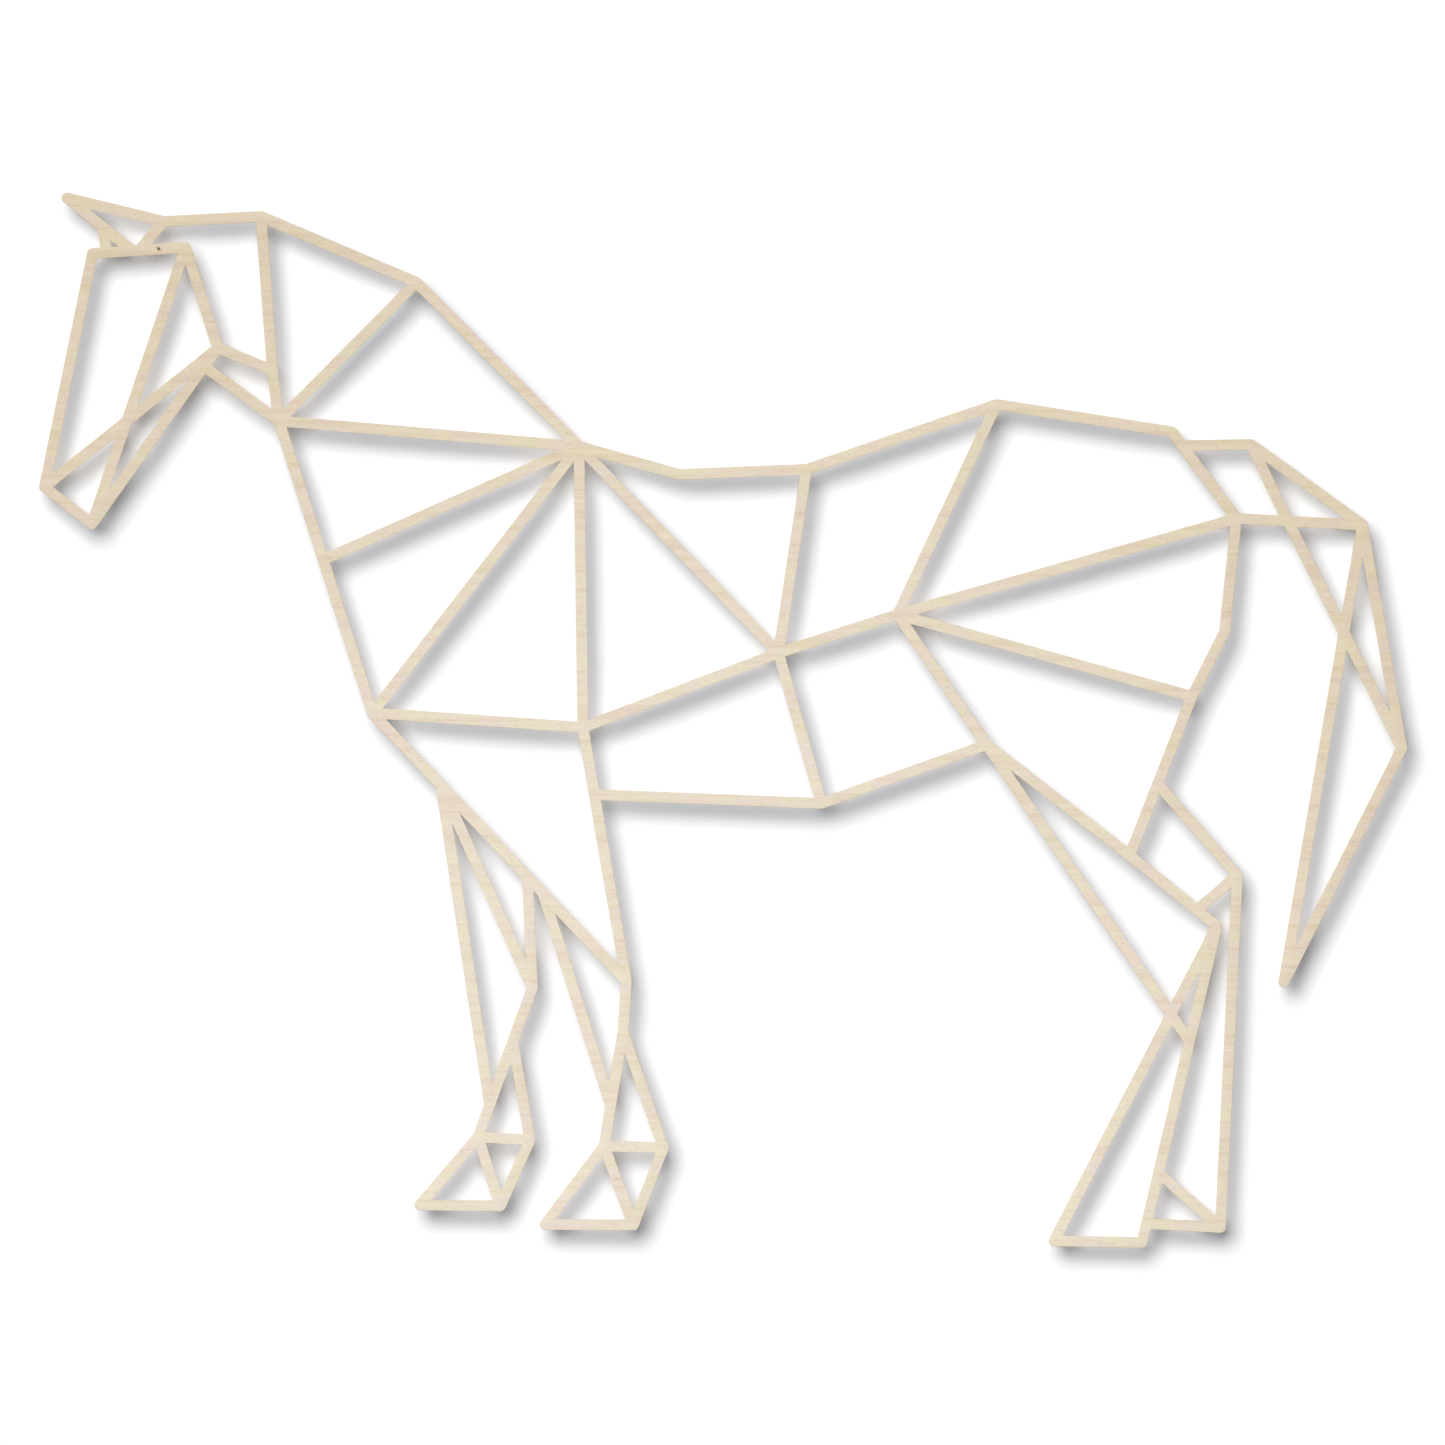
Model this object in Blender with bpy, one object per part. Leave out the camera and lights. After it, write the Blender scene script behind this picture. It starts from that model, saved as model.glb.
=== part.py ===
"""Geometric horse for a wall, cut in one piece from a thin sheet of light plywood.

The horse stands in side view and faces -X, drawn with straight bars of one width. The sheet is upright: its
front is towards -Y, and its back, which goes against the wall, is at y = 0. The origin is on the back,
behind the withers, where the horse is held. Metres, +Z up.
"""

import math
from itertools import pairwise

import bmesh
import bpy
from mathutils import Vector
from mathutils.geometry import delaunay_2d_cdt

# Sizes of the panel.
HORSE_LENGTH = 0.600
BAR_WIDTH = 0.0048
SHEET_THICKNESS = 0.004

# How the round corners are faceted: the most that one facet turns.
FACET_TURN = math.radians(12)

# The plywood's face veneer.
VENEER_COLOUR = (0.760, 0.679, 0.539)
VENEER_ROUGHNESS = 0.62

# Below this distance, in millimetres, two points are one and a point lies on the line beside it.
SAME_POINT = 1e-3

# The pose: the middle of each joint as (along, up) from the withers, in a unit of its own. Only the
# proportions count, because the drawing is scaled to HORSE_LENGTH.
LANDMARKS = {
    "ear_tip": (-512, 248.5),
    "nape": (-415, 225),
    "forehead": (-486.5, 193),
    "poll": (-393.5, 199),
    "muzzle": (-534.5, -40.5),
    "chin": (-487, -77.5),
    "cheek": (-361, 98.5),
    "jaw": (-375, 80),
    "gullet": (-306.5, 76),
    "crest": (-318, 230),
    "mid_crest": (-162.5, 164),
    "throat": (-300, 25.5),
    "withers": (0, 0),
    "back": (100, -28),
    "loin": (227.5, -23),
    "croup": (417.5, 42),
    "dock": (593, 14.5),
    "buttock": (657.5, -72),
    "rump": (645.5, -185.5),
    "thigh_back": (613, -250),
    "breast": (-206.5, -266.5),
    "girth": (4, -281),
    "flank": (199.5, -206.5),
    "hip": (318.5, -168),
    "belly": (242.5, -357),
    "far_knee": (-46.5, -541),
    "far_fetlock": (-101, -690.5),
    "far_fetlock_back": (-49, -693.5),
    "far_hoof_toe": (-159, -758.5),
    "far_hoof_heel": (-78.5, -759.5),
    "near_knee": (47.5, -534.5),
    "near_shin": (44, -585.5),
    "near_fetlock": (25, -699.5),
    "near_fetlock_back": (84.5, -701),
    "near_hoof_toe": (-34, -778),
    "near_hoof_heel": (54.5, -778.5),
    "gaskin": (550.5, -409),
    "far_hock": (658.5, -428.5),
    "far_hind_heel": (641.5, -781),
    "near_hock": (638, -479.5),
    "near_hind_toe": (475, -794.5),
    "near_hind_heel": (563, -796),
    "tail_top": (672, 2),
    "tail_bend": (783.5, -78.5),
    "tail_back": (823, -301.5),
    "tail_tip": (705, -535.5),
}

# Joints part-way along a bar: (from, to, share of the way).
BRANCHES = {
    "forelock": ("forehead", "poll", 0.15),
    "ear_base": ("forehead", "poll", 0.43),
    "ear_back": ("forehead", "poll", 0.50),
    "ear_fork": ("ear_tip", "ear_base", 0.56),
    "breast_top": ("throat", "breast", 0.475),
    "far_arm": ("breast", "near_knee", 0.27),
    "far_elbow": ("breast", "near_knee", 0.61),
    "near_arm": ("breast", "near_knee", 0.67),
    "near_elbow": ("girth", "near_knee", 0.265),
    "far_shin": ("far_knee", "far_fetlock", 0.36),
    "far_splint": ("far_knee", "far_fetlock", 0.785),
    "near_splint": ("near_shin", "near_fetlock", 0.64),
    "cannon": ("near_hock", "near_hind_heel", 0.365),
    "pastern": ("near_hock", "near_hind_heel", 0.78),
    "far_hind_toe": ("near_hock", "near_hind_heel", 0.94),
    "stifle": ("hip", "cannon", 0.305),
    "gaskin_back": ("thigh_back", "gaskin", 0.55),
    "hock_link": ("gaskin", "near_hock", 0.77),
    "tail_root": ("dock", "buttock", 0.16),
    "tail_bone": ("buttock", "tail_bend", 0.41),
    "tail_cross": ("tail_tip", "tail_bend", 0.765),
}

# The bars, as lines from joint to joint.
LINES = (
    # Head and ears.
    ("ear_tip", "nape", "ear_back"),
    ("ear_tip", "ear_base"),
    ("ear_fork", "forelock"),
    ("muzzle", "forehead", "poll", "chin", "muzzle", "cheek", "poll"),
    ("chin", "jaw", "cheek", "gullet"),
    # Neck.
    ("nape", "crest", "mid_crest", "withers"),
    ("crest", "gullet", "throat", "mid_crest"),
    ("jaw", "throat", "withers"),
    # Chest and barrel.
    ("throat", "breast", "withers", "breast_top"),
    ("breast", "girth", "flank", "hip"),
    ("girth", "withers", "flank", "loin"),
    ("near_elbow", "belly", "stifle"),
    ("flank", "belly"),
    # Back and quarters.
    ("withers", "back", "loin", "croup", "dock", "buttock", "rump", "thigh_back", "gaskin"),
    ("croup", "hip", "buttock"),
    ("hip", "thigh_back"),
    # Fore legs.
    ("breast", "near_knee", "girth"),
    ("far_splint", "far_arm", "far_knee", "far_elbow"),
    ("far_knee", "far_fetlock", "far_hoof_toe", "far_hoof_heel", "far_fetlock_back", "far_shin"),
    ("far_hoof_heel", "far_fetlock", "far_fetlock_back"),
    ("near_knee", "near_shin", "near_fetlock", "near_hoof_toe", "near_hoof_heel"),
    ("near_hoof_heel", "near_fetlock_back", "near_shin"),
    ("near_hoof_heel", "near_fetlock", "near_fetlock_back"),
    ("near_arm", "near_splint"),
    # Hind legs.
    ("hip", "cannon"),
    ("stifle", "gaskin", "near_hock", "near_hind_heel", "near_hind_toe", "near_hock"),
    ("gaskin_back", "far_hock", "far_hind_heel", "far_hind_toe"),
    ("far_hock", "hock_link"),
    ("pastern", "far_hind_heel"),
    # Tail.
    ("tail_root", "tail_top", "tail_bend", "tail_back", "tail_tip", "tail_bend", "buttock"),
    ("tail_top", "tail_bone", "tail_cross", "tail_back"),
)


def clear_scene():
    """Removes every object that the scene starts with."""
    for obj in list(bpy.data.objects):
        bpy.data.objects.remove(obj, do_unlink=True)


def joint_places():
    """Returns the middle of each joint, by name, in millimetres."""
    places = {name: Vector(place) for name, place in LANDMARKS.items()}
    for name, (start, end, share) in BRANCHES.items():
        places[name] = places[start].lerp(places[end], share)
    drawn_length = max(place.x for place in places.values()) - min(place.x for place in places.values())
    scale = 1000 * (HORSE_LENGTH - BAR_WIDTH) / drawn_length
    return {name: place * scale for name, place in places.items()}


def straight_bars():
    """Returns each bar as two joint names, with the longer bars split where others branch off."""
    bars = []
    for line in LINES:
        for start, end in pairwise(line):
            stops = [(0, start), (1, end)]
            for name, (first, last, share) in BRANCHES.items():
                if (first, last) == (start, end):
                    stops.append((share, name))
                elif (last, first) == (start, end):
                    stops.append((1 - share, name))
            names = [name for share, name in sorted(stops)]
            bars.extend(pairwise(names))
    return bars


def bar_outline(start, end, half_width):
    """Returns the four corners of a bar between two joints."""
    along = (end - start).normalized()
    side = along.orthogonal() * half_width
    return [start - side, end - side, end + side, start + side]


def round_corner(middle, neighbours, half_width):
    """Returns the wedge that rounds a joint's open side, or None where bars close it all round."""
    angles = sorted(math.atan2(other.y - middle.y, other.x - middle.x) for other in neighbours)
    following = angles[1:] + [angles[0] + math.tau]
    gap, before = max((after - before, before) for before, after in zip(angles, following))
    turn = gap - math.pi
    if turn * half_width < SAME_POINT:
        return None
    steps = max(1, math.ceil(turn / FACET_TURN))
    first = before + math.pi / 2
    wedge = [middle]
    for step in range(steps + 1):
        angle = first + turn * step / steps
        wedge.append(middle + half_width * Vector((math.cos(angle), math.sin(angle))))
    return wedge


def bar_and_corner_outlines():
    """Returns the outline of every bar and every rounded corner, in millimetres."""
    places = joint_places()
    half_width = 1000 * BAR_WIDTH / 2
    neighbours = {name: [] for name in places}
    outlines = []
    for start, end in straight_bars():
        neighbours[start].append(places[end])
        neighbours[end].append(places[start])
        outlines.append(bar_outline(places[start], places[end], half_width))
    for name, middle in places.items():
        wedge = round_corner(middle, neighbours[name], half_width)
        if wedge:
            outlines.append(wedge)
    return outlines


def within(point, outline):
    """Tells whether a point lies in a bar's or wedge's outline, or no further from it than SAME_POINT."""
    for start, end in pairwise([*outline, outline[0]]):
        side = end - start
        if side.cross(point - start) < -SAME_POINT * side.length:
            return False
    return True


def inside(point, loop):
    """Tells whether a point lies inside a loop of any shape: an odd number of its sides are to its right."""
    crossings = 0
    for start, end in pairwise([*loop, loop[0]]):
        if (start.y > point.y) != (end.y > point.y):
            share = (point.y - start.y) / (end.y - start.y)
            crossings += start.x + share * (end.x - start.x) > point.x
    return crossings % 2 == 1


def triangles_round(outlines):
    """Returns points, triangles between them and the triangles' middles. No triangle crosses an outline."""
    points = []
    sides = []
    for outline in outlines:
        count = len(outline)
        sides.extend((len(points) + index, len(points) + (index + 1) % count) for index in range(count))
        points.extend(outline)
    points, _, triangles, *_ = delaunay_2d_cdt(points, sides, [], 0, SAME_POINT / 10)
    middles = [(points[a] + points[b] + points[c]) / 3 for a, b, c in triangles]
    return points, triangles, middles


def rim(triangles):
    """Returns the edges that only one triangle has, each with that triangle on its left."""
    edges = {edge for triangle in triangles for edge in pairwise([*triangle, triangle[0]])}
    return [(start, end) for start, end in edges if (end, start) not in edges]


def union_boundary(outlines):
    """Returns the edge loops round the union of some flat outlines, wood on the left of each."""
    points, triangles, middles = triangles_round(outlines)
    wood = [
        triangle
        for triangle, middle in zip(triangles, middles)
        if any(within(middle, outline) for outline in outlines)
    ]
    onward = dict(rim(wood))
    loops = []
    while onward:
        start, here = onward.popitem()
        loop = [points[start]]
        while here != start:
            loop.append(points[here])
            here = onward.pop(here)
        loops.append(without_spare_points(loop))
    return loops


def without_spare_points(loop):
    """Returns a loop without the points that repeat their neighbour or lie on the line past it."""
    kept = list(loop)
    spare = True
    while spare:
        spare = False
        for index, point in enumerate(kept):
            before = kept[index - 1]
            after = kept[(index + 1) % len(kept)]
            line = after - before
            off_line = abs(line.cross(point - before)) / max(line.length, SAME_POINT)
            if off_line < SAME_POINT or (point - before).length < SAME_POINT:
                del kept[index]
                spare = True
                break
    return kept


def cut_sheet(loops, thickness):
    """Returns a mesh of the sheet inside some loops: its back at y = 0 and its front at -thickness."""
    points, triangles, middles = triangles_round(loops)
    # A spot inside an odd number of loops is wood. Inside an even number it is a gap between bars.
    wood = [
        triangle
        for triangle, middle in zip(triangles, middles)
        if sum(inside(middle, loop) for loop in loops) % 2
    ]
    mesh = bmesh.new()
    back = [mesh.verts.new((0.001 * point.x, 0, 0.001 * point.y)) for point in points]
    front = [mesh.verts.new((0.001 * point.x, -thickness, 0.001 * point.y)) for point in points]
    for triangle in wood:
        mesh.faces.new([front[index] for index in triangle])
        mesh.faces.new([back[index] for index in reversed(triangle)])
    for start, end in rim(wood):
        mesh.faces.new([back[start], back[end], front[end], front[start]])
    bmesh.ops.recalc_face_normals(mesh, faces=mesh.faces)
    return mesh


def veneer_material():
    """Returns the material of the plywood's face."""
    material = bpy.data.materials.new("birch_veneer")
    material.use_nodes = True
    shader = material.node_tree.nodes["Principled BSDF"]
    shader.inputs["Base Color"].default_value = (*VENEER_COLOUR, 1)
    shader.inputs["Roughness"].default_value = VENEER_ROUGHNESS
    shader.inputs["Metallic"].default_value = 0
    return material


def main():
    """Builds the horse as one solid."""
    clear_scene()
    sheet = cut_sheet(union_boundary(bar_and_corner_outlines()), SHEET_THICKNESS)
    mesh = bpy.data.meshes.new("horse_panel")
    sheet.to_mesh(mesh)
    sheet.free()
    mesh.materials.append(veneer_material())
    bpy.context.scene.collection.objects.link(bpy.data.objects.new("horse_panel", mesh))


main()
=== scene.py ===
"""Dresses the geometric plywood horse: one thin sheet, with its veneer and its cut edges."""

import logging
import math
from dataclasses import dataclass, field
from enum import Enum

import bpy
import numpy as np
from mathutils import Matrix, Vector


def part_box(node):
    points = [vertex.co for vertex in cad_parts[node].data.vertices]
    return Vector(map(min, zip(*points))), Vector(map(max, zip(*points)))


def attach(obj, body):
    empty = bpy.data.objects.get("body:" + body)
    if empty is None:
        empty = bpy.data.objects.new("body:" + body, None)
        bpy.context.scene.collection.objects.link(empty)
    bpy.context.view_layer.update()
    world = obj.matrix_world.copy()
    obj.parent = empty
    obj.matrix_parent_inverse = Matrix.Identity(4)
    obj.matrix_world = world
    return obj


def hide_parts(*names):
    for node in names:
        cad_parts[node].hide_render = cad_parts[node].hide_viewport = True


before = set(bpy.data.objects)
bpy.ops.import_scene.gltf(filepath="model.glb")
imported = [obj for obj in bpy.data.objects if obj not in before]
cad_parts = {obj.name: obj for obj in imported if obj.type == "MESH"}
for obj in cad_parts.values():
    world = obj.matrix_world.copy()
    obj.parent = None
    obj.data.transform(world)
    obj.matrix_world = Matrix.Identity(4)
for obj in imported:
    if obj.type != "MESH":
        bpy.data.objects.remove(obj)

MM = 0.001
MICROMETRE = 0.001 * MM
PANEL = "horse_panel"
BODY = "root"

# The Mix node's colour sockets, which go by number: two colours in, and the mixed one out.
BELOW, ABOVE, MIXED = 6, 7, 2

Socket = bpy.types.NodeSocket
Tree = bpy.types.NodeTree
Colour = tuple[float, float, float, float]

log = logging.getLogger("plywood_horse")


def linear(colour: str) -> Colour:
    """Turns a colour from sRGB to linear light, channel by channel.

    Args:
        colour: The sRGB colour as "#rrggbb".

    Returns:
        Linear red, green and blue, and an alpha of 1.
    """
    coded = np.array([int(colour[at : at + 2], 16) for at in (1, 3, 5)]) / 255
    light = np.where(coded <= 0.04045, coded / 12.92, ((coded + 0.055) / 1.055) ** 2.4)
    return (*(float(value) for value in light), 1.0)


def add_node(
    tree: Tree, kind: str, settings: dict | None = None, inputs: dict | None = None
) -> bpy.types.Node:
    """Adds one shader node.

    Args:
        tree: The node tree that gets it.
        kind: The node's Blender type.
        settings: Its properties, by name.
        inputs: Its inputs by name or number: a value to set, or another node's output to link.

    Returns:
        The new node.
    """
    node = tree.nodes.new(kind)
    for name, value in (settings or {}).items():
        setattr(node, name, value)
    for name, value in (inputs or {}).items():
        if isinstance(value, Socket):
            tree.links.new(value, node.inputs[name])
        else:
            node.inputs[name].default_value = value
    return node


class Cut(Enum):
    """The surfaces of the sheet that differ in finish, with each one's place in its materials."""

    VENEER = 0
    EDGE = 1


class Blend(Enum):
    """How a tint joins the colour below it, with Blender's name for that."""

    COVER = "MIX"
    STAIN = "MULTIPLY"


class Rise(Enum):
    """How a tint comes in from none to most, with Blender's name for that."""

    SMOOTH = "SMOOTHSTEP"
    STRAIGHT = "LINEAR"


@dataclass(frozen=True)
class Tint:
    """A colour that comes in over another one as some measure goes from one value to a second."""

    colour: str
    none_at: float
    full_at: float
    most: float = 1.0
    blend: Blend = Blend.COVER
    rise: Rise = Rise.SMOOTH

    def over(self, tree: Tree, below: Socket | Colour, measure: Socket) -> Socket:
        """Lays the tint over a colour, in a share from 0 to most.

        Args:
            tree: The material's nodes.
            below: The colour below.
            measure: What the share follows.

        Returns:
            The two colours together.
        """
        share = add_node(
            tree,
            "ShaderNodeMapRange",
            {"interpolation_type": self.rise.value},
            {
                "Value": measure,
                "From Min": self.none_at,
                "From Max": self.full_at,
                "To Max": self.most,
            },
        )
        both = add_node(
            tree,
            "ShaderNodeMix",
            {"data_type": "RGBA", "blend_type": self.blend.value},
            {"Factor": share.outputs["Result"], BELOW: below, ABOVE: linear(self.colour)},
        )
        return both.outputs[MIXED]


@dataclass(frozen=True)
class Grain:
    """Soft noise with grains of a real size: along the sheet (X), up it (Z) and through it (Y).

    The noise is taken at the place in the sheet divided by that size, and moved on by the seed, so
    that no two patterns lie alike.
    """

    along_mm: float
    up_mm: float
    through_mm: float = 25.0
    seed: float = 0.0
    detail: float = 1.5
    coarseness: float = 0.5

    def measure(self, tree: Tree, place: Socket) -> Socket:
        """Gives the noise, from 0 to 1.

        Args:
            tree: The material's nodes.
            place: The place in the sheet.

        Returns:
            The noise there.
        """
        sizes = (self.along_mm, self.through_mm, self.up_mm)
        stretched = add_node(
            tree,
            "ShaderNodeMapping",
            {"vector_type": "POINT"},
            {
                "Vector": place,
                "Location": (self.seed, self.seed, 0),
                "Scale": [1 / (size * MM) for size in sizes],
            },
        )
        noise = add_node(
            tree,
            "ShaderNodeTexNoise",
            {"noise_dimensions": "3D"},
            {
                "Vector": stretched.outputs["Vector"],
                "Scale": 1.0,
                "Detail": self.detail,
                "Roughness": self.coarseness,
            },
        )
        return noise.outputs["Fac"]


@dataclass(frozen=True)
class Spot:
    """An ellipse on the sheet's face: its middle, its half axes in X and Z, and its tilt."""

    middle_mm: tuple[float, float]
    half_mm: tuple[float, float] = (1.0, 1.0)
    tilt: float = 0.0

    def measure(self, tree: Tree, place: Socket) -> Socket:
        """Gives the distance from the spot's middle, counted in half axes, so it is 1 on its rim.

        Args:
            tree: The material's nodes.
            place: The place in the sheet.

        Returns:
            The distance.
        """
        within = add_node(
            tree,
            "ShaderNodeMapping",
            {"vector_type": "TEXTURE"},
            {
                "Vector": place,
                "Location": (self.middle_mm[0] * MM, 0, self.middle_mm[1] * MM),
                "Rotation": (0, self.tilt, 0),
                "Scale": (self.half_mm[0] * MM, 1, self.half_mm[1] * MM),
            },
        )
        length = add_node(
            tree, "ShaderNodeVectorMath", {"operation": "LENGTH"}, {0: within.outputs["Vector"]}
        )
        return length.outputs["Value"]


@dataclass(frozen=True)
class BareWood:
    """Dry wood with no coat, as both finishes of the sheet are: dull, with a low relief."""

    roughness: float
    relief: float
    relief_strength: float
    ior: float = 1.45

    def begin(self, name: str) -> tuple[bpy.types.Material, Socket]:
        """Starts a material.

        Args:
            name: The material's name.

        Returns:
            The material, and the place in the sheet, which is its Object coordinates. So a pattern
            runs on from bar to bar, as it does in one sheet.
        """
        material = bpy.data.materials.new(name)
        material.use_nodes = True
        place = add_node(material.node_tree, "ShaderNodeTexCoord").outputs["Object"]
        return material, place

    def complete(self, material: bpy.types.Material, colour: Socket, height: Socket) -> None:
        """Gives a material its colour, its relief and its dull sheen.

        Args:
            material: The material.
            colour: Its colour.
            height: The height of its relief, from 0 to 1.
        """
        tree = material.node_tree
        bump = add_node(
            tree,
            "ShaderNodeBump",
            {},
            {"Height": height, "Strength": self.relief_strength, "Distance": self.relief},
        )
        shader = tree.nodes["Principled BSDF"]
        tree.links.new(colour, shader.inputs["Base Color"])
        tree.links.new(bump.outputs["Normal"], shader.inputs["Normal"])
        shader.inputs["Roughness"].default_value = self.roughness
        shader.inputs["IOR"].default_value = self.ior


@dataclass(frozen=True)
class BirchVeneer(BareWood):
    """Sanded, unfinished birch face veneer, peeled from the log: pale and matt, grained along X.

    The eye sees a cream sheet, palest by the fore legs and a little more tan away from them: a
    painted pool of light with painted shade round it. Over it lie soft pinkish and yellowish
    clouds, long faint growth streaks, short fibres, a few pale and tan flecks, and brown pores. One
    pin knot, with a tan ring round it, sits by the poll.
    """

    roughness: float = 0.62
    relief: float = 0.05 * MM
    relief_strength: float = 0.25

    # The middle of the painted pool of light has half axes of 1 mm, so the distance from it counts
    # in millimetres. Farther out, the tan tint paints shade onto the sheet.
    pale: str = "#dad2c4"
    light_pool_middle: Spot = Spot((10.0, -320.0))
    tan: Tint = Tint("#cdc2ae", none_at=130.0, full_at=490.0)

    clouds: Grain = Grain(15.0, 8.0, seed=3.1, detail=5.0)
    pink: str = "#fff8f7"
    yellow: Tint = Tint("#fffdef", none_at=0.36, full_at=0.64)

    streaks: Grain = Grain(90.0, 1.9, seed=11.7, detail=3.0)
    streak_tint: Tint = Tint("#f7f3ee", none_at=0.42, full_at=0.72, blend=Blend.STAIN)

    # Real fibres are about 0.02 mm wide, too fine to show. These are bundles of them.
    fibres: Grain = Grain(8.0, 0.45, seed=5.3, detail=2.0)
    fibre_tint: Tint = Tint("#f7f3ee", none_at=0.50, full_at=0.85, blend=Blend.STAIN)

    flecks: Grain = Grain(5.0, 0.55, seed=23.9)
    fleck_tint: Tint = Tint("#fffaf0", none_at=0.66, full_at=0.78, most=0.26)
    patches: Grain = Grain(5.0, 0.55, seed=41.3)
    patch_tint: Tint = Tint("#c9b49a", none_at=0.66, full_at=0.78, most=0.34)

    # Real pores are about 0.1 mm wide, too fine to show, so these are drawn four times as wide.
    pores: Grain = Grain(1.7, 0.40, seed=63.7)
    pore_tint: Tint = Tint("#9a7f5f", none_at=0.60, full_at=0.72, most=0.27)

    pin_knot: Spot = Spot((-184.3, 86.7), (0.85, 0.50), math.radians(45))
    ring_tint: Tint = Tint("#a98a60", none_at=2.8, full_at=1.0, most=0.35)
    knot_tint: Tint = Tint("#43361f", none_at=1.2, full_at=0.7)

    def material(self) -> bpy.types.Material:
        """Builds the veneer's material.

        Returns:
            The material: the tone of the sheet times its clouds, with each kind of mark laid over.
        """
        material, place = self.begin("birch_veneer_sanded")
        tree = material.node_tree
        # Painted light: paler near the fore legs and painted tan, as shade, farther from them.
        tone = self.tan.over(tree, linear(self.pale), self.light_pool_middle.measure(tree, place))
        cloud = self.yellow.over(tree, linear(self.pink), self.clouds.measure(tree, place))
        clouded = add_node(
            tree,
            "ShaderNodeMix",
            {"data_type": "RGBA", "blend_type": Blend.STAIN.value},
            {"Factor": 1.0, BELOW: tone, ABOVE: cloud},
        )
        colour = clouded.outputs[MIXED]
        fibres = self.fibres.measure(tree, place)
        from_knot = self.pin_knot.measure(tree, place)
        for tint, measure in (
            (self.streak_tint, self.streaks.measure(tree, place)),
            (self.fibre_tint, fibres),
            (self.fleck_tint, self.flecks.measure(tree, place)),
            (self.patch_tint, self.patches.measure(tree, place)),
            (self.pore_tint, self.pores.measure(tree, place)),
            (self.ring_tint, from_knot),
            (self.knot_tint, from_knot),
        ):
            colour = tint.over(tree, colour, measure)
        self.complete(material, colour, fibres)
        return material


@dataclass(frozen=True)
class LaserCutEdge(BareWood):
    """The cut edge of three-ply birch, toasted brown by the laser.

    The eye sees two long-grained outer plies, a darker core whose grain runs across, a thin dark
    glue line on each side of the core, and fine straight ridges through the sheet where the beam
    passed.
    """

    roughness: float = 0.82
    relief: float = 0.06 * MM
    relief_strength: float = 0.5

    outer_ply: str = "#b8926a"
    core_ply: str = "#9c7850"
    glue: str = "#553b29"

    # Real ridges are about 0.15 mm apart, too fine to show, so these are three times as coarse.
    ridges: Grain = Grain(0.45, 0.45, through_mm=33.3, detail=2.0, coarseness=0.6)
    soot_tint: Tint = Tint("#86664a", none_at=0.40, full_at=0.75, most=0.8, rise=Rise.STRAIGHT)

    speckle: Grain = Grain(0.6, 0.6, through_mm=0.6, detail=3.0, coarseness=0.6)
    clean_tint: Tint = Tint(outer_ply, none_at=0.30, full_at=0.70, most=0.35, rise=Rise.STRAIGHT)

    # How far from the middle of a glue line its brown starts and is full, in widths of the line.
    glue_none_at: float = 0.90
    glue_full_at: float = 0.35

    def material(self, thickness: float, core: float, glue_line: float) -> bpy.types.Material:
        """Builds the edge's material.

        Args:
            thickness: The sheet's thickness in metres.
            core: The core ply's share of it, in metres.
            glue_line: The width of a glue line in metres.

        Returns:
            The material. Its plies follow Y, from 0 at the back to -thickness.
        """
        material, place = self.begin("plywood_edge_laser_cut")
        tree = material.node_tree
        # The distance from the middle of the sheet, and from that the distance from a glue line.
        distance = add_node(tree, "ShaderNodeSeparateXYZ", {}, {0: place}).outputs["Y"]
        distances = []
        for shift in (thickness / 2, -core / 2):
            moved = add_node(tree, "ShaderNodeMath", {"operation": "ADD"}, {0: distance, 1: shift})
            unsigned = add_node(
                tree, "ShaderNodeMath", {"operation": "ABSOLUTE"}, {0: moved.outputs["Value"]}
            )
            distance = unsigned.outputs["Value"]
            distances.append(distance)
        off_middle, off_glue = distances
        core_tint = Tint(self.core_ply, (core + glue_line) / 2, (core - glue_line) / 2)
        glue_tint = Tint(self.glue, glue_line * self.glue_none_at, glue_line * self.glue_full_at)
        ridges = self.ridges.measure(tree, place)
        colour = linear(self.outer_ply)
        for tint, measure in (
            (core_tint, off_middle),
            (self.soot_tint, ridges),
            (self.clean_tint, self.speckle.measure(tree, place)),
            (glue_tint, off_glue),
        ):
            colour = tint.over(tree, colour, measure)
        self.complete(material, colour, ridges)
        return material


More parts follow.
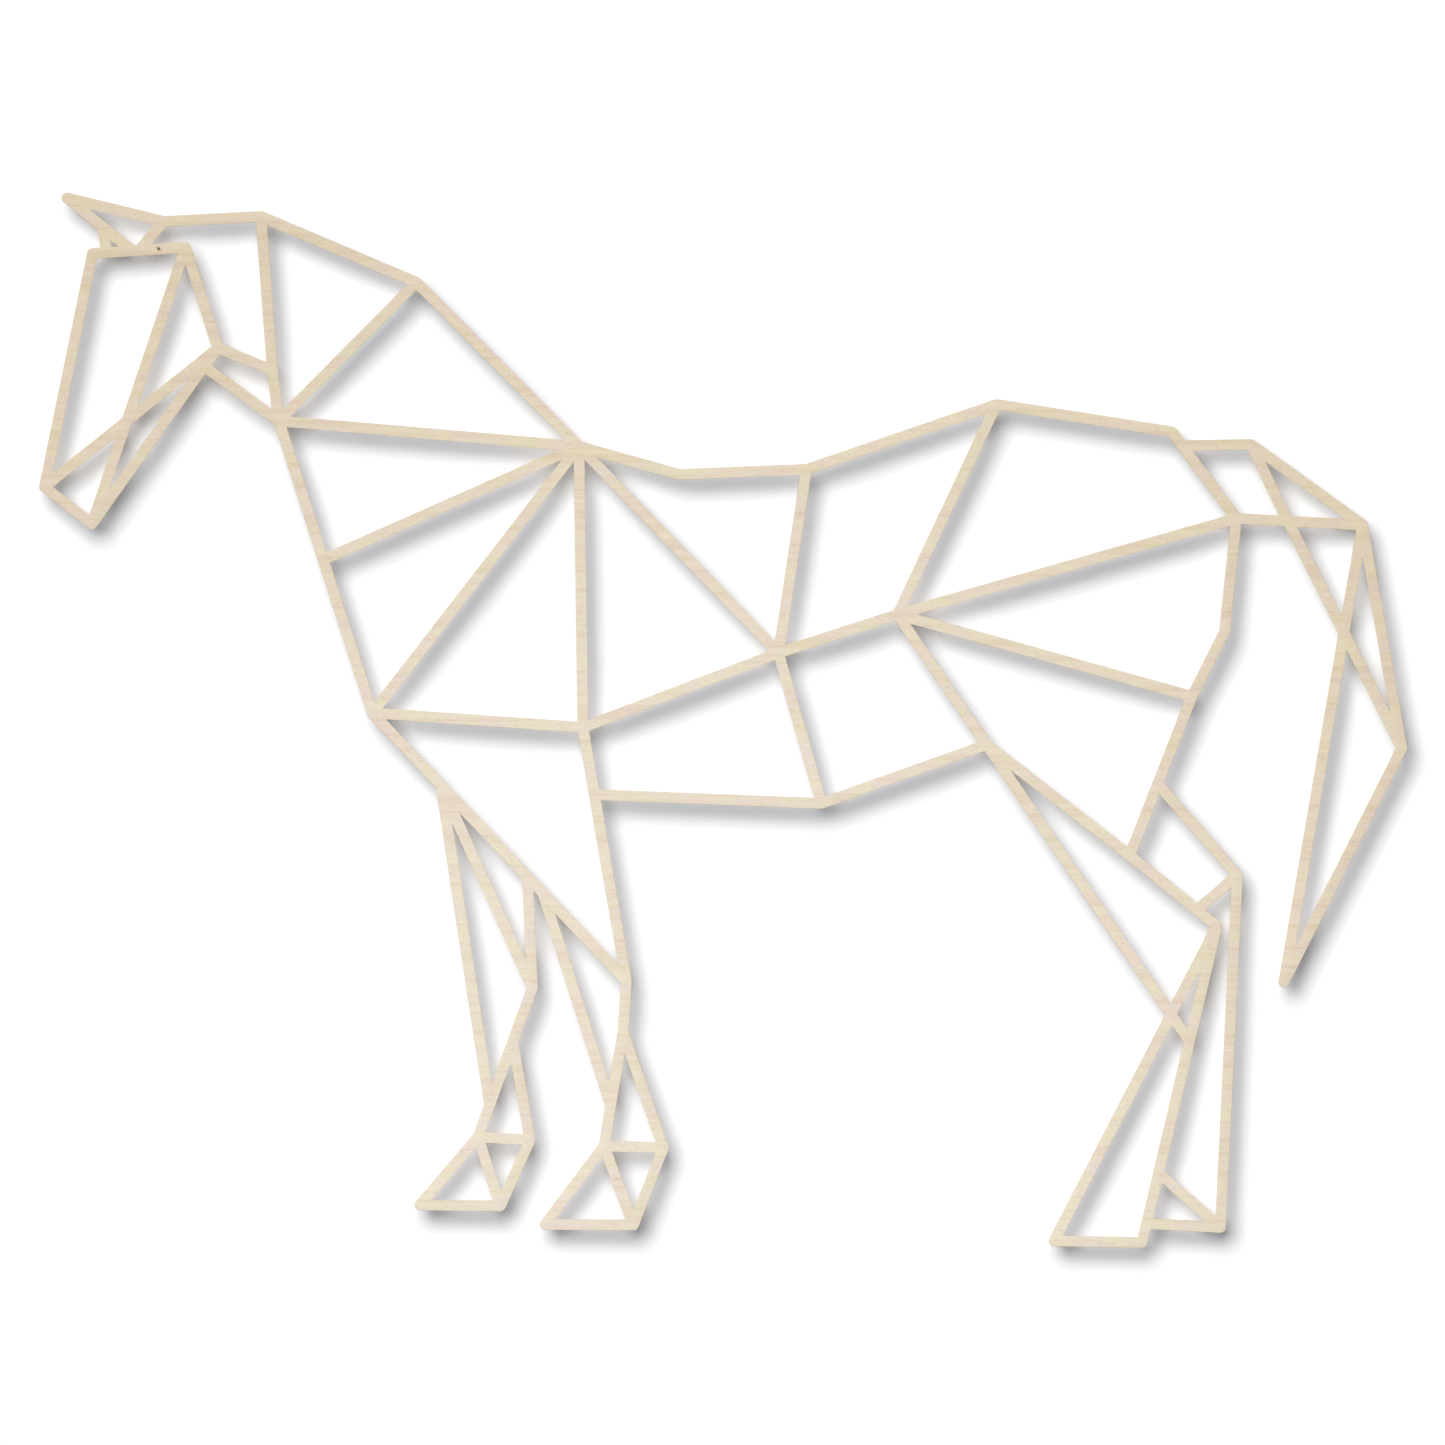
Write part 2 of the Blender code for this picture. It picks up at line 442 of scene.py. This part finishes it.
@dataclass
class SheetOutline:
    """The flat outline of the panel, read from its CAD node as whole arrays.

    Each point of the outline knows the next one and the one before it round its own loop, with wood
    on the left of the way from one to the next, seen from the front.
    """

    node: bpy.types.Object
    points: np.ndarray = field(init=False)
    triangles: np.ndarray = field(init=False)
    after: np.ndarray = field(init=False)
    before: np.ndarray = field(init=False)

    def __post_init__(self) -> None:
        """Reads the points, the triangles that fill the outline, and the order round it."""
        mesh = self.node.data
        mesh.calc_loop_triangles()
        corners = np.empty(len(mesh.vertices) * 3, np.float32)
        mesh.vertices.foreach_get("co", corners)
        corners = corners.reshape(-1, 3).astype(float)
        faces = np.empty(len(mesh.loop_triangles) * 3, np.int32)
        mesh.loop_triangles.foreach_get("vertices", faces)
        faces = faces.reshape(-1, 3)
        off_front = np.abs(corners[faces, 1] - corners[:, 1].min())
        flat = corners[faces[np.all(off_front < MICROMETRE, axis=1)].ravel()][:, [0, 2]]
        rounded = np.round(flat / MICROMETRE).astype(np.int64)
        _, first, index = np.unique(rounded, axis=0, return_index=True, return_inverse=True)
        self.points = flat[first]
        self.triangles = index.reshape(-1, 3)
        self.turn_triangles_left()
        self.follow_the_rim()

    def turn_triangles_left(self) -> None:
        """Turns each triangle so that its corners run counterclockwise, seen from the front."""
        a, b, c = (self.points[self.triangles[:, corner]] for corner in range(3))
        twice_area = (b - a)[:, 0] * (c - a)[:, 1] - (b - a)[:, 1] * (c - a)[:, 0]
        self.triangles[twice_area < 0] = self.triangles[twice_area < 0][:, ::-1]

    def follow_the_rim(self) -> None:
        """Finds the sides that only one triangle has, and from them each point's neighbours."""
        count = len(self.points)
        sides = np.concatenate([self.triangles[:, pair] for pair in ([0, 1], [1, 2], [2, 0])])
        forward = sides[:, 0] * count + sides[:, 1]
        backward = sides[:, 1] * count + sides[:, 0]
        rim = sides[~np.isin(forward, backward)]
        self.after = np.full(count, -1)
        self.before = np.full(count, -1)
        self.after[rim[:, 0]] = rim[:, 1]
        self.before[rim[:, 1]] = rim[:, 0]

    def pushed_out(self, distance: np.ndarray, longest_mitre: float) -> np.ndarray:
        """Moves the outline off the wood, or into it, with mitred corners.

        A corner moves by distance * (n1 + n2) / (1 + n1 . n2), where n1 and n2 are the outward
        normals of the two sides that meet there. A sharp corner's mitre is held to a length.

        Args:
            distance: How far each ring moves outward, one value a ring, in metres.
            longest_mitre: The most that a corner moves, in times that distance.

        Returns:
            The places as an array of rings by points by 2.
        """
        ahead = self.points[self.after] - self.points
        ahead /= np.linalg.norm(ahead, axis=1, keepdims=True)
        outward = np.stack([ahead[:, 1], -ahead[:, 0]], axis=1)
        arriving = outward[self.before]
        mitre = (arriving + outward) / (1 + np.sum(arriving * outward, axis=1, keepdims=True))
        length = np.linalg.norm(mitre, axis=1, keepdims=True)
        mitre *= np.minimum(1, longest_mitre / length)
        return self.points[None] + distance[:, None, None] * mitre[None]


@dataclass
class PlywoodHorse:
    """The whole object: one sheet of three-ply birch, cut to the horse's outline.

    The cut edge is a profile carried round every loop of the outline. From the back it turns over a
    small arris, runs up the cut with a shallow groove at each glue line, and turns over the front
    arris onto the face.
    """

    outline: SheetOutline
    thickness: float
    arris: float = 0.16 * MM
    arris_steps: int = 4
    core: float = 1.3 * MM
    glue_line: float = 0.10 * MM
    groove: float = 0.04 * MM
    groove_mouth: float = 0.20 * MM
    groove_bed: float = 0.08 * MM
    longest_mitre: float = 6.0
    smooth_below: float = math.radians(28)

    def profile(self) -> tuple[np.ndarray, np.ndarray, np.ndarray]:
        """Works out the edge's cross-section, from the back to the front.

        An arris is a quarter circle: inset = r * (1 - sin a) and depth = r * (1 - cos a) as a goes
        from 0 to a right angle. A groove slopes from its mouth to a flat bed at the middle of a
        glue line.

        Returns:
            How far each point lies inside the outline, how far in front of the back, and which Cut
            follows it.
        """
        angle = np.linspace(0, math.pi / 2, self.arris_steps + 1)
        inset = self.arris * (1 - np.sin(angle))
        depth = self.arris * (1 - np.cos(angle))
        dip = np.array([0, self.groove, self.groove, 0])
        mouth, bed = self.groove_mouth, self.groove_bed
        across = np.array([-mouth, -bed, bed, mouth])
        back_glue = (self.thickness - self.core + across) / 2
        front_glue = (self.thickness + self.core + across) / 2
        insets = np.concatenate([inset, dip, dip, inset[::-1]])
        depths = np.concatenate([depth, back_glue, front_glue, self.thickness - depth[::-1]])
        cuts = np.full(len(insets) - 1, Cut.EDGE.value)
        cuts[: self.arris_steps] = cuts[-self.arris_steps :] = Cut.VENEER.value
        return insets, depths, cuts

    def build(self) -> bpy.types.Object:
        """Builds the sheet's mesh.

        Each ring holds every point of the outline, moved in by one inset of the profile and
        forward by its depth. Walls join each ring to the next, and the triangles that fill the
        outline close both ends.

        Returns:
            The finished object, at the origin.
        """
        insets, depths, cuts = self.profile()
        rings = self.outline.pushed_out(-insets, self.longest_mitre)
        ring_count, count = rings.shape[:2]
        places = np.empty((ring_count, count, 3))
        places[:, :, [0, 2]] = rings
        places[:, :, 1] = -depths[:, None]
        ring = np.arange(ring_count - 1)[:, None] * count
        here, ahead = ring + np.arange(count), ring + self.outline.after
        walls = np.stack([here, ahead, ahead + count, here + count], axis=2).reshape(-1, 4)
        back = self.outline.triangles[:, ::-1]
        front = self.outline.triangles + (ring_count - 1) * count
        wall_cuts = np.repeat(cuts, count)
        face_cuts = np.full(len(back) + len(front), Cut.VENEER.value)
        mesh = bpy.data.meshes.new("plywood_horse")
        polygons = [*walls.tolist(), *back.tolist(), *front.tolist()]
        mesh.from_pydata(places.reshape(-1, 3), [], polygons)
        finishes = np.concatenate([wall_cuts, face_cuts]).astype(np.int32)
        mesh.polygons.foreach_set("material_index", finishes)
        mesh.validate()
        mesh.shade_smooth()
        mesh.set_sharp_from_angle(angle=self.smooth_below)
        piece = bpy.data.objects.new("plywood_horse", mesh)
        bpy.context.scene.collection.objects.link(piece)
        return piece

    def dress(self, piece: bpy.types.Object, veneer: BirchVeneer, edge: LaserCutEdge) -> None:
        """Gives the sheet its two finishes, in the order of Cut, and ties it to the frame.

        Args:
            piece: The sheet.
            veneer: The finish of both faces and of the arrises.
            edge: The finish of the cut edge.
        """
        piece.data.materials.append(veneer.material())
        piece.data.materials.append(edge.material(self.thickness, self.core, self.glue_line))
        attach(piece, BODY)
        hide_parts(PANEL)


@dataclass(frozen=True)
class Lamp:
    """A broad soft light, far away, that shines in one direction, with its width in degrees."""

    name: str
    toward: tuple[float, float, float]
    strength: float
    width: float
    colour: str = "#ffffff"

    def hang(self) -> None:
        """Puts the lamp in the scene."""
        data = bpy.data.lights.new(self.name, "SUN")
        data.energy = self.strength
        data.angle = math.radians(self.width)
        data.color = linear(self.colour)[:3]
        lamp = bpy.data.objects.new(self.name, data)
        lamp.rotation_mode = "QUATERNION"
        lamp.rotation_quaternion = Vector(self.toward).to_track_quat("-Z", "Y")
        bpy.context.scene.collection.objects.link(lamp)


@dataclass(frozen=True)
class MattPaint:
    """White matt wall paint, rolled on: even and without gloss, and clear when seen from behind.

    The glow stands for the light that comes to a surface from the others round it.
    """

    colour: str
    glow: float = 0.0

    def material(self, name: str) -> bpy.types.Material:
        """Builds the paint's material.

        Args:
            name: The painted surface's name.

        Returns:
            The material.
        """
        material = bpy.data.materials.new(f"{name}_paint_white_matt")
        material.use_nodes = True
        tree = material.node_tree
        colour = linear(self.colour)
        matt = add_node(tree, "ShaderNodeBsdfDiffuse", {}, {"Color": colour})
        lit = add_node(tree, "ShaderNodeEmission", {}, {"Color": colour, "Strength": self.glow})
        coat = add_node(tree, "ShaderNodeAddShader", {}, {0: matt.outputs[0], 1: lit.outputs[0]})
        clear = add_node(tree, "ShaderNodeBsdfTransparent")
        behind = add_node(tree, "ShaderNodeNewGeometry").outputs["Backfacing"]
        sides = {0: behind, 1: coat.outputs[0], 2: clear.outputs[0]}
        one_sided = add_node(tree, "ShaderNodeMixShader", {}, sides)
        tree.links.new(one_sided.outputs[0], tree.nodes["Material Output"].inputs["Surface"])
        return material


@dataclass
class Studio:
    """The white wall behind the horse, the pale room round it, its soft lights and the camera.

    The key light comes from the upper left, so that the horse's shadow lies to the lower right on
    the wall. The side light and the back light come from behind the wall, which lets them through,
    so they reach the cut edges and the back and never the face.
    """

    photo_pixels: int = 1445
    pixel: float = 0.43845 * MM
    withers_pixel: tuple[float, float] = (579.0, 446.5)
    camera_distance: float = 2.0
    wall_behind: float = 12.0 * MM
    wall_half: float = 3.0
    wall_paint: MattPaint = MattPaint("#eff0f2")
    room_half: float = 5.0
    room_paint: MattPaint = MattPaint("#f7f6f4", glow=0.28)
    floor_below: float = 1.0
    sky_strength: float = 0.08
    sky_colour: str = "#e2edff"
    lamps: tuple[Lamp, ...] = (
        Lamp("key_light", (0.25, 1.0, -0.35), strength=3.53, width=40, colour="#fffdfa"),
        Lamp("fill_light", (0.0, 1.0, 0.0), strength=0.37, width=4, colour="#dceaff"),
        Lamp("side_light", (-1.0, -0.5, 0.45), strength=0.7, width=30),
        Lamp("back_light", (-0.1, -1.0, -0.3), strength=2.8, width=30),
    )

    def set_camera(self) -> None:
        """Sets an orthographic camera square to the wall, framed as the photograph is."""
        data = bpy.data.cameras.new("front_camera")
        data.type = "ORTHO"
        data.ortho_scale = self.photo_pixels * self.pixel
        camera = bpy.data.objects.new("front_camera", data)
        across, down = (self.photo_pixels / 2 - at for at in self.withers_pixel)
        camera.location = (across * self.pixel, -self.camera_distance, -down * self.pixel)
        camera.rotation_euler = (math.pi / 2, 0, 0)
        bpy.context.scene.collection.objects.link(camera)
        bpy.context.scene.camera = camera

    def put_up(
        self, name: str, corners: np.ndarray, faces: list[tuple[int, ...]], paint: MattPaint
    ) -> None:
        """Puts up one painted stage surface, which only the camera sees, and only from its front.

        Args:
            name: The surface's name.
            corners: Its corners in metres.
            faces: Its faces, with their fronts towards the horse.
            paint: Its paint.
        """
        mesh = bpy.data.meshes.new(name)
        mesh.from_pydata(corners, [], faces)
        mesh.materials.append(paint.material(name))
        surface = bpy.data.objects.new(name, mesh)
        surface.visible_diffuse = False
        surface.visible_glossy = False
        surface.visible_transmission = False
        surface.visible_shadow = False
        bpy.context.scene.collection.objects.link(surface)

    def build_room(self) -> None:
        """Puts up the white wall behind the horse, and a pale floor and pale walls round both."""
        square = np.array([(-1, 0, -1), (1, 0, -1), (1, 0, 1), (-1, 0, 1)])
        corners = square * self.wall_half + np.array([0, self.wall_behind, 0])
        self.put_up("wall", corners, [(0, 1, 2, 3)], self.wall_paint)
        cube = np.array([(x, y, z) for z in (-1, 1) for y in (-1, 1) for x in (-1, 1)])
        corners = cube * self.room_half + np.array([0, 0, self.room_half - self.floor_below])
        faces = [(0, 1, 3, 2), (4, 6, 7, 5), (0, 4, 5, 1), (1, 5, 7, 3), (3, 7, 6, 2), (2, 6, 4, 0)]
        self.put_up("room", corners, faces, self.room_paint)

    def light(self) -> None:
        """Hangs the lamps and fills the room with a faint, even, cool light."""
        for lamp in self.lamps:
            lamp.hang()
        world = bpy.data.worlds.new("pale_studio")
        world.use_nodes = True
        sky = world.node_tree.nodes["Background"]
        sky.inputs["Color"].default_value = linear(self.sky_colour)
        sky.inputs["Strength"].default_value = self.sky_strength
        bpy.context.scene.world = world
        bpy.context.scene.view_settings.view_transform = "Standard"


def main() -> None:
    """Builds the studio and the horse."""
    logging.basicConfig(level=logging.INFO)
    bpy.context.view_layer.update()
    low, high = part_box(PANEL)
    studio = Studio()
    studio.set_camera()
    studio.build_room()
    studio.light()
    horse = PlywoodHorse(SheetOutline(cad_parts[PANEL]), thickness=high.y - low.y)
    piece = horse.build()
    horse.dress(piece, BirchVeneer(), LaserCutEdge())
    log.info("%s: %d faces", piece.name, len(piece.data.polygons))


if __name__ == "__main__":
    main()
